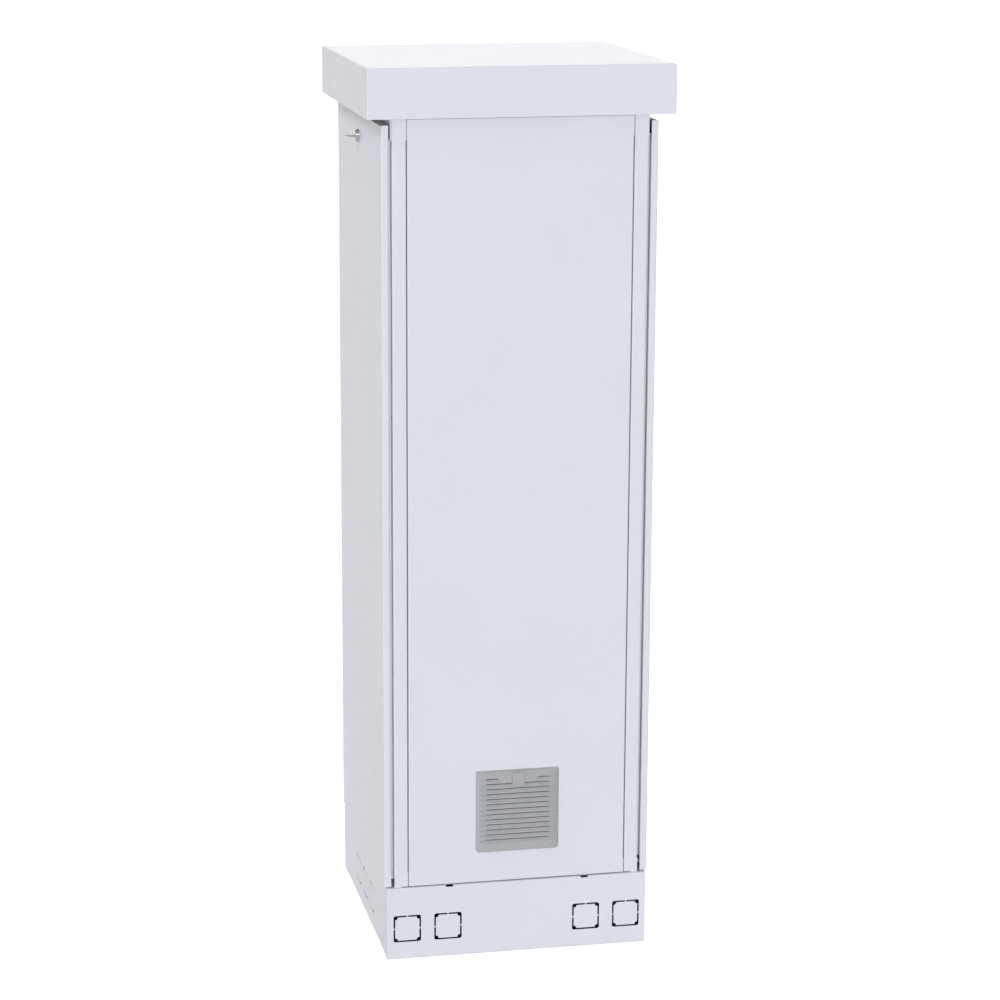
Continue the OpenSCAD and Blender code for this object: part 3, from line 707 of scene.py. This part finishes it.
@dataclass
class FilterMat:
    """The fleece mat behind the louvres, crowned and soft at its edges."""

    node: str = "filter_mat"
    crown: float = 1.6 * MM
    rounding: float = 4 * MM
    rounding_steps: int = 3
    cuts: int = 24
    smooth_deg: float = 60
    fill: float = 0.8

    def build(self, finishes: Finishes) -> None:
        """Models the mat in the place of its CAD node.

        Args:
            finishes: Materials by slot name.
        """
        low, high = (Vector(corner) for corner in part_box(self.node))
        middle, size = (low + high) / 2, high - low
        piece = Shop.block("filter_fleece", middle, (size.x, size.y - 2 * self.crown, size.z))
        Shop.bevel(piece, self.rounding, self.rounding_steps)
        bpy.ops.object.mode_set(mode="EDIT")
        bpy.ops.mesh.select_all(action="SELECT")
        bpy.ops.mesh.subdivide(number_cuts=self.cuts)
        bpy.ops.object.mode_set(mode="OBJECT")
        for vertex in piece.data.vertices:
            across = 1 - (2 * (vertex.co.x - middle.x) / size.x) ** 2
            along = 1 - (2 * (vertex.co.z - middle.z) / size.z) ** 2
            side = 1 if vertex.co.y > middle.y else -1
            vertex.co.y += side * self.crown * max(0.0, across * along)
        Shop.settle(piece, self.smooth_deg)
        Shop.hand_over(piece, finishes, Slot.FLEECE, Body.CABINET, self.node)


@dataclass
class CableGrommets:
    """A row of rubber grommets, each with two flanges, a neck and a stepped membrane."""

    node: str = "cable_grommets"
    count: int = 5
    facets: int = 48
    neck_in: float = 4.9 * MM
    flange: float = 3.5 * MM
    ring_share: float = 0.24
    ring_rises: Sequence[float] = (-1.6 * MM, 1.0 * MM, -1.2 * MM)
    rounding: float = 0.5 * MM
    rounding_steps: int = 2

    def build(self, finishes: Finishes) -> None:
        """Models one grommet, copies it along the row and joins the copies.

        Args:
            finishes: Materials by slot name.
        """
        low, high = (Vector(corner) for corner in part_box(self.node))
        radius = (high.y - low.y) / 2
        pitch = (high.x - low.x - 2 * radius) / (self.count - 1)
        first = Vector((low.x + radius, low.y + radius, low.z))
        piece = self._one(first, radius, high.z - low.z)
        copies = [piece]
        for place in range(1, self.count):
            bpy.ops.object.select_all(action="DESELECT")
            piece.select_set(True)
            bpy.context.view_layer.objects.active = piece
            bpy.ops.object.duplicate(linked=False)
            bpy.ops.transform.translate(value=(place * pitch, 0, 0))
            copies.append(bpy.context.object)
        bpy.ops.object.select_all(action="DESELECT")
        for copy in copies:
            copy.select_set(True)
        bpy.context.view_layer.objects.active = piece
        bpy.ops.object.join()
        Shop.settle(piece)
        Shop.hand_over(piece, finishes, Slot.RUBBER, Body.CABINET, self.node)

    def _one(self, foot: Vector, radius: float, height: float) -> bpy.types.Object:
        """Raises one grommet from a disc by extruding, insetting and moving its top face.

        Args:
            foot: Middle of its underside.
            radius: Outer radius of the flanges.
            height: Full height.

        Returns:
            The grommet with rounded edges.
        """
        piece = Shop.start(bpy.ops.mesh.primitive_circle_add, "rubber_grommets", vertices=self.facets,
                           radius=radius, fill_type="NGON", location=foot)
        neck = height - 2 * self.flange
        widen = radius / (radius - self.neck_in)
        bpy.ops.object.mode_set(mode="EDIT")
        bpy.ops.mesh.select_all(action="SELECT")
        self._lift(self.flange)
        bpy.ops.mesh.inset(thickness=self.neck_in)
        self._lift(neck)
        # Extruding by nothing gives the upper flange its underside, which is then widened.
        self._lift(0)
        bpy.ops.transform.resize(value=(widen, widen, 1), center_override=foot)
        self._lift(self.flange)
        for rise in self.ring_rises:
            bpy.ops.mesh.inset(thickness=radius * self.ring_share)
            bpy.ops.transform.translate(value=(0, 0, rise))
        bpy.ops.object.mode_set(mode="OBJECT")
        Shop.bevel(piece, self.rounding, self.rounding_steps)
        return piece

    @staticmethod
    def _lift(height: float) -> None:
        """Extrudes the chosen face upwards."""
        bpy.ops.mesh.extrude_region_move(TRANSFORM_OT_translate={"value": (0, 0, height)})


@dataclass
class DoorKey:
    """The flat key in the left lock, its bow lying level."""

    node: str = "key"
    bow_r: float = 11 * MM
    bow_facets: int = 48
    blade_w: float = 8 * MM
    hole_r: float = 2.5 * MM
    hole_in: float = 6 * MM
    hole_facets: int = 32
    groove_l: float = 30 * MM
    groove_w: float = 1.5 * MM
    groove_depth: float = 0.5 * MM
    groove_out: float = 24 * MM
    groove_aside: float = 1.4 * MM
    rounding: float = 0.45 * MM
    rounding_steps: int = 3
    sharp_deg: float = 40

    def build(self, finishes: Finishes) -> None:
        """Models the key in the place of its CAD node.

        Args:
            finishes: Materials by slot name.
        """
        low, high = (Vector(corner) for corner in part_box(self.node))
        middle, thick = (low + high) / 2, high.z - low.z
        bow_x = low.x + self.bow_r
        piece = self._disc("lock_key", bow_x, middle, self.bow_r, thick, self.bow_facets)
        bpy.ops.object.transform_apply(location=True, rotation=True, scale=True)
        blade = Shop.block("blade", ((bow_x + high.x) / 2, middle.y, middle.z),
                           (high.x - bow_x, self.blade_w, thick))
        Shop.combine(piece, blade, Joinery.WELD)
        ring_hole = self._disc("ring_hole", low.x + self.hole_in, middle, self.hole_r, THROUGH * thick,
                               self.hole_facets)
        Shop.combine(piece, ring_hole, Joinery.CUT)
        for side in (-1, 1):
            place = (bow_x + self.groove_out,
                     middle.y + side * self.groove_aside,
                     middle.z + side * thick / 2)
            groove = Shop.block("groove", place, (self.groove_l, self.groove_w, 2 * self.groove_depth))
            Shop.combine(piece, groove, Joinery.CUT)
        Shop.bevel(piece, self.rounding, self.rounding_steps, self.sharp_deg)
        Shop.settle(piece)
        Shop.hand_over(piece, finishes, Slot.KEY, Body.LEFT_LOCK, self.node)

    @staticmethod
    def _disc(name: str, x: float, middle: Vector, radius: float, depth: float,
              facets: int) -> bpy.types.Object:
        """Adds an upright cylinder on the key's middle line.

        Args:
            name: Name of the new piece.
            x: Its place along the key.
            middle: The key's middle.
            radius: Its radius.
            depth: Its height.
            facets: Steps round it.

        Returns:
            The cylinder.
        """
        return Shop.start(bpy.ops.mesh.primitive_cylinder_add, name, vertices=facets, radius=radius,
                          depth=depth, location=(x, middle.y, middle.z))


class CadDress:
    """Puts the finishes on the CAD nodes."""

    def __init__(self, finishes: Finishes) -> None:
        """Keeps the materials and each node's slot name.

        Args:
            finishes: Materials by slot name.
        """
        self.finishes = finishes
        self.slots = {part["node"]: part["material_slot"] for part in frame["record"]["subparts"]}

    def build(self) -> None:
        """Assigns a finish to every node's material slots."""
        for name, node in frame["nodes"].items():
            material = self.finishes[self.slots[name]]
            if not node.material_slots:
                node.data.materials.append(material)
            for place in node.material_slots:
                place.material = material
            LOG.info("node %s: %s", name, material.name)


@dataclass(frozen=True)
class SoftBox:
    """A large, far light that faces the cabinet's middle.

    Its level is the light on a facing white surface, where 1 renders as white. A light that isn't
    mirrored stays out of glossy reflections.
    """

    name: str
    direction: tuple[float, float, float]
    level: float
    size: float
    colour: Colour = WHITE
    mirrored: bool = True
    distance: float = 40.0
    aim_height: float = 1.05

    def build(self) -> None:
        """Adds the light."""
        middle = Vector((0, 0, self.aim_height))
        place = middle + Vector(self.direction).normalized() * self.distance
        bpy.ops.object.light_add(type="AREA", location=place)
        lamp = bpy.context.object
        lamp.name = self.name + "_light"
        lamp.data.energy = self.level * (math.pi * self.distance) ** 2
        lamp.data.size = self.size
        lamp.data.color = self.colour
        lamp.visible_glossy = self.mirrored
        lamp.rotation_euler = (middle - place).to_track_quat("-Z", "Y").to_euler()
        LOG.info("light %s at level %.2f", self.name, self.level)


@dataclass(frozen=True)
class PhotoCamera:
    """The camera at the photograph's viewing angle, for a square image."""

    place: tuple[float, float, float] = (-1.428, -6.787, 2.699)
    right_deg: float = 10.84
    down_deg: float = 13.36
    lens_mm: float = 104.3
    sensor_mm: float = 36.0
    shift: float = 0.06

    def build(self) -> None:
        """Adds the camera and makes it the scene's own."""
        data = bpy.data.cameras.new("view")
        camera = bpy.data.objects.new("view", data)
        bpy.context.scene.collection.objects.link(camera)
        camera.location = self.place
        camera.rotation_euler = (math.radians(90 - self.down_deg), 0, -math.radians(self.right_deg))
        data.sensor_width = self.sensor_mm
        data.lens = self.lens_mm
        data.shift_x = self.shift
        bpy.context.scene.camera = camera


@dataclass
class Studio:
    """Pale floor, white background and soft light."""

    lamps: Sequence[SoftBox] = (
        SoftBox("front", (-0.12, -1.0, 0.12), level=0.60, size=7.0, colour=COOL, mirrored=False),
        SoftBox("left", (-0.7, -0.08, 0.85), level=0.35, size=14.0, colour=WARM, mirrored=False),
        SoftBox("fill", (0.7, 0.7, 0.35), level=0.42, size=14.0, mirrored=False),
        SoftBox("rear", (0.12, 0.95, 0.3), level=0.12, size=22.0),
        SoftBox("accent", (-0.72, -0.53, 0.43), level=0.06, size=9.0),
    )
    sky: float = 0.25
    matt_specular: float = 0.1
    floor_span: float = 120.0
    floor_drop: float = 0.5 * MM
    floor_tone: float = 0.68
    floor_rough: float = 0.9
    floor_glow: float = 0.75
    ground_inset: float = 12 * MM
    ground_drop: float = 0.2 * MM
    ground_grain: float = 40
    # Near-black tones of the patch under the plinth: painted shade.
    shade_patch_tones: Span = (0.07, 0.1)
    ground_rough: float = 0.95

    def build(self) -> None:
        """Sets up floor, world, lights and camera."""
        self._floor()
        self._shade_patch()
        self._world()
        for lamp in self.lamps:
            lamp.build()
        PhotoCamera().build()
        bpy.context.scene.view_settings.view_transform = "Standard"

    @staticmethod
    def _seen(tree: bpy.types.NodeTree) -> bpy.types.Node:
        """A field that is 1 where the camera, a gloss or a see-through surface looks.

        Args:
            tree: The node tree that the field is for.

        Returns:
            The last Math node; its value is on the output Value.
        """
        path = tree.nodes.new("ShaderNodeLightPath")
        last = path.outputs["Is Camera Ray"]
        for ray in ("Is Glossy Ray", "Is Transmission Ray"):
            either = tree.nodes.new("ShaderNodeMath")
            either.operation = "MAXIMUM"
            tree.links.new(last, either.inputs[0])
            tree.links.new(path.outputs[ray], either.inputs[1])
            last = either.outputs["Value"]
        return either

    def _floor(self) -> None:
        """A wide pale floor that reads as white and keeps the cabinet's shadow."""
        floor = Shop.start(bpy.ops.mesh.primitive_plane_add, "studio_floor", size=self.floor_span,
                           location=(0, 0, -self.floor_drop))
        g = Graph("studio_floor_finish")
        g.set(Roughness=self.floor_rough, Specular_IOR_Level=self.matt_specular)
        tone = self.floor_tone
        g.shader.inputs["Base Color"].default_value = (tone, tone, tone, 1)
        g.shader.inputs["Emission Color"].default_value = (1, 1, 1, 1)
        glow = g.tree.nodes.new("ShaderNodeMath")
        glow.operation = "MULTIPLY"
        glow.inputs[1].default_value = self.floor_glow
        g.join(self._seen(g.tree), "Value", glow, 0)
        g.join(glow, "Value", g.shader, "Emission Strength")
        floor.data.materials.append(g.material)

    def _shade_patch(self) -> None:
        """A near-black patch under the plinth, painted shade for its shadowed inside, so its knock-outs
        don't show a white floor.
        """
        left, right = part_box("plinth_left"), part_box("plinth_right")
        front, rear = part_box("plinth_front"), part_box("plinth_rear")
        width = right[1][0] - left[0][0] - 2 * self.ground_inset
        depth = rear[1][1] - front[0][1] - 2 * self.ground_inset
        shade_patch = Shop.start(bpy.ops.mesh.primitive_plane_add, "studio_shade_patch", size=1,
                            location=(0, 0, -self.ground_drop))
        shade_patch.scale = (width, depth, 1)
        g = Graph("studio_ground_finish")
        # Painted shade: near-black tones stand in for the shadow inside the plinth.
        tone = g.ramp(g.noise(self.ground_grain, detail=5), "Fac", WIDE, *self.shade_patch_tones)
        g.join(tone, "Color", g.shader, "Base Color")
        g.set(Roughness=self.ground_rough, Specular_IOR_Level=self.matt_specular)
        shade_patch.data.materials.append(g.material)

    def _world(self) -> None:
        """White to the camera and to gloss, a soft even sky to everything else."""
        world = bpy.data.worlds.new("studio")
        bpy.context.scene.world = world
        world.use_nodes = True
        tree = world.node_tree
        tree.nodes.clear()
        sky = tree.nodes.new("ShaderNodeBackground")
        sky.inputs["Color"].default_value = (1, 1, 1, 1)
        sky.inputs["Strength"].default_value = self.sky
        white = tree.nodes.new("ShaderNodeBackground")
        white.inputs["Color"].default_value = (1, 1, 1, 1)
        blend = tree.nodes.new("ShaderNodeMixShader")
        out = tree.nodes.new("ShaderNodeOutputWorld")
        tree.links.new(self._seen(tree).outputs["Value"], blend.inputs["Fac"])
        tree.links.new(sky.outputs["Background"], blend.inputs[1])
        tree.links.new(white.outputs["Background"], blend.inputs[2])
        tree.links.new(blend.outputs["Shader"], out.inputs["Surface"])


def main() -> None:
    """Builds the cabinet's looks in order."""
    logging.basicConfig(level=logging.INFO)
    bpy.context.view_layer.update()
    finishes = CabinetFinishes().build()
    CadDress(finishes).build()
    FoamSeal("left_seal", Body.LEFT_SIDE).build(finishes)
    FoamSeal("right_seal", Body.RIGHT_SIDE).build(finishes)
    for node in ("front_seal", "rear_seal"):
        FoamSeal(node, Body.CABINET, PANEL_SEAL_STRIP, PANEL_SEAL_ROUNDING).build(finishes)
    FilterMat().build(finishes)
    CableGrommets().build(finishes)
    DoorKey().build(finishes)
    Studio().build()


if __name__ == "__main__":
    main()
